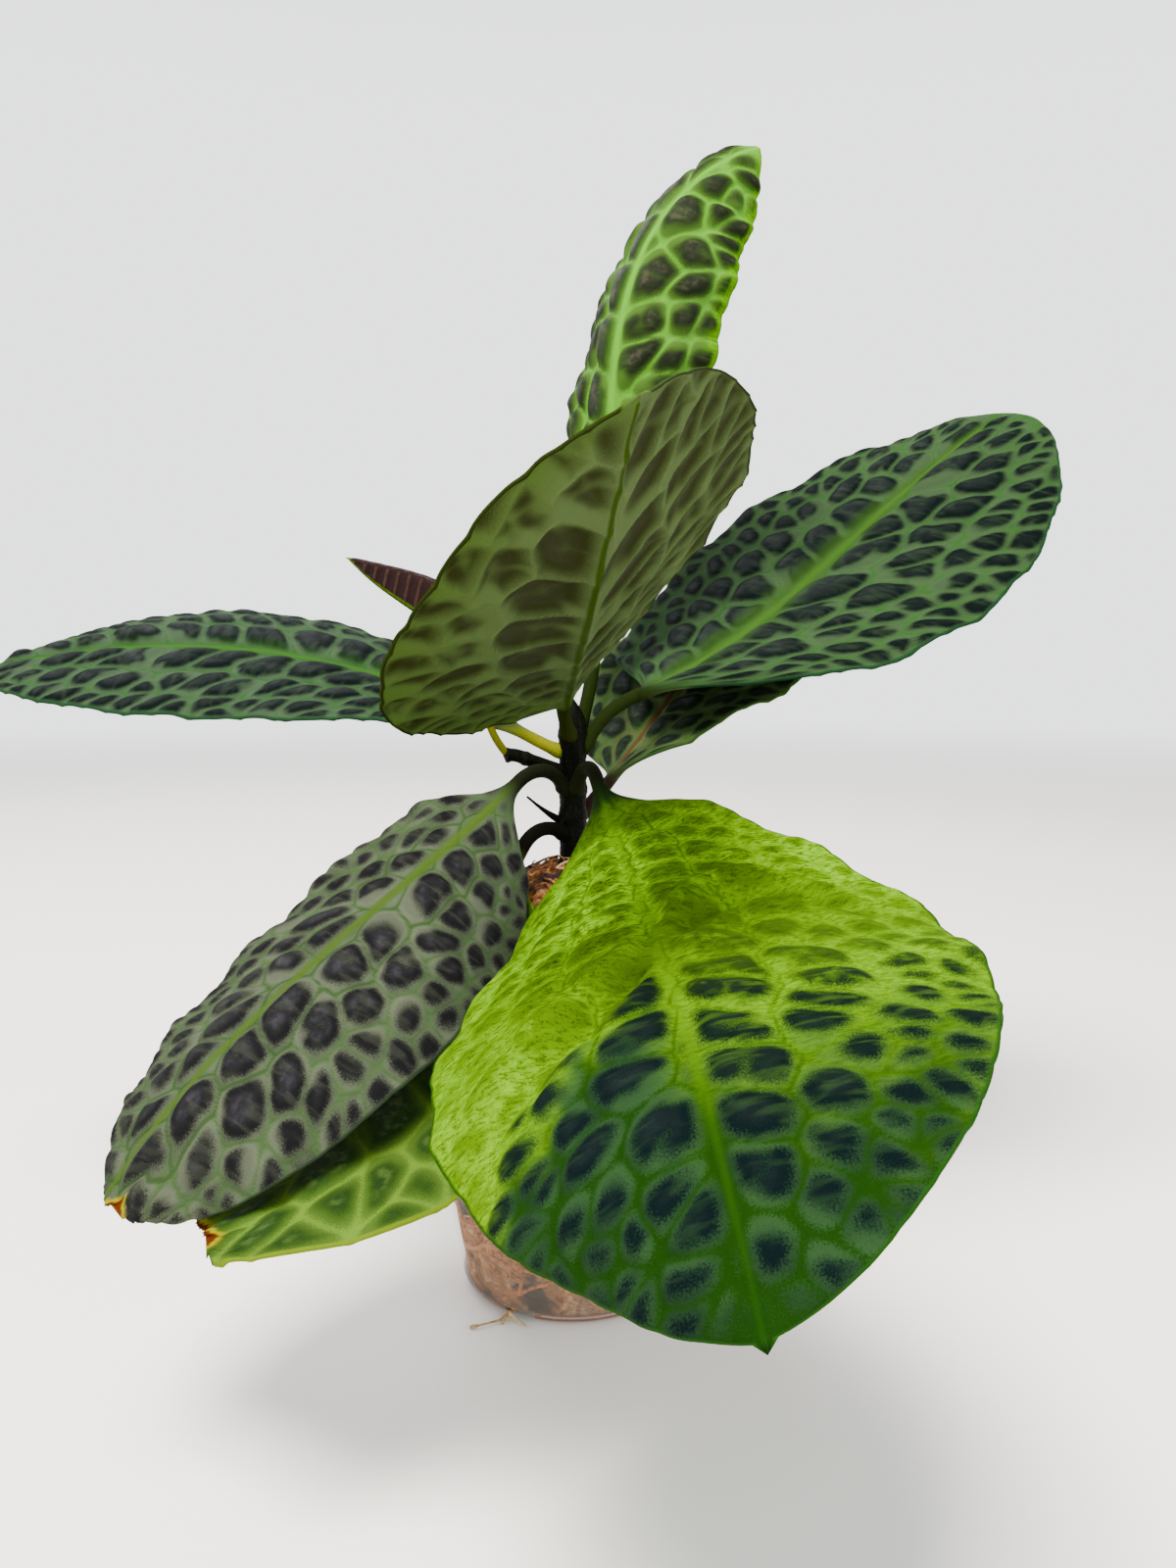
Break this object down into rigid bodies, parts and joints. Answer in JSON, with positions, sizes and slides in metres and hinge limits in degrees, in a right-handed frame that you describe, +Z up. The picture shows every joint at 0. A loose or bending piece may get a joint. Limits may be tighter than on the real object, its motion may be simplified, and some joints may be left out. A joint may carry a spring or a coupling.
{
  "type": "potted ardisia",
  "caption": "House plant with broad, quilted, scallop-edged leaves on one short upright stem, rooted in sphagnum in a clear flared nursery cup that stands on its flat foot.",
  "frame": {"origin": "middle of the cup's flat foot, on the surface that the plant stands on", "axes": "+Z up along the cup's axis and the stem; -Y towards the viewer, on the side that the broad front leaf hangs over; +X to the viewer's right"},
  "size_m": [0.3358, 0.3185, 0.3409],
  "materials": {
    "clear_plastic": "clear, thin and glossy",
    "sphagnum": "damp fibrous moss and bark, matt",
    "stem_bark": "smooth, nearly black green",
    "leaf_top_green": "satin, quilted",
    "leaf_centre_green": "satin, quilted, underside shown",
    "leaf_right_green": "satin, quilted",
    "leaf_left_green": "satin, quilted",
    "leaf_lower_left_green": "satin with a silvery net, quilted",
    "leaf_lower_back_green": "satin, quilted, brown at the broken tip",
    "leaf_front_green": "satin, lime above and deep green below, quilted",
    "leaf_right_back_green": "satin, quilted, with a reddish-brown midrib",
    "leaf_young_green": "satin, purple-brown with a green keel",
    "dry_root": "dry, matt"
  },
  "bodies": {
    "root": {"pot": "clear_plastic", "substrate": "sphagnum", "stem": "stem_bark", "leaf_top": "leaf_top_green", "leaf_centre": "leaf_centre_green", "leaf_right": "leaf_right_green", "leaf_left": "leaf_left_green", "leaf_lower_left": "leaf_lower_left_green", "leaf_lower_back": "leaf_lower_back_green", "leaf_front": "leaf_front_green", "leaf_right_back": "leaf_right_back_green", "leaf_young": "leaf_young_green", "escaped_roots": "dry_root"}
  },
  "joints": []
}
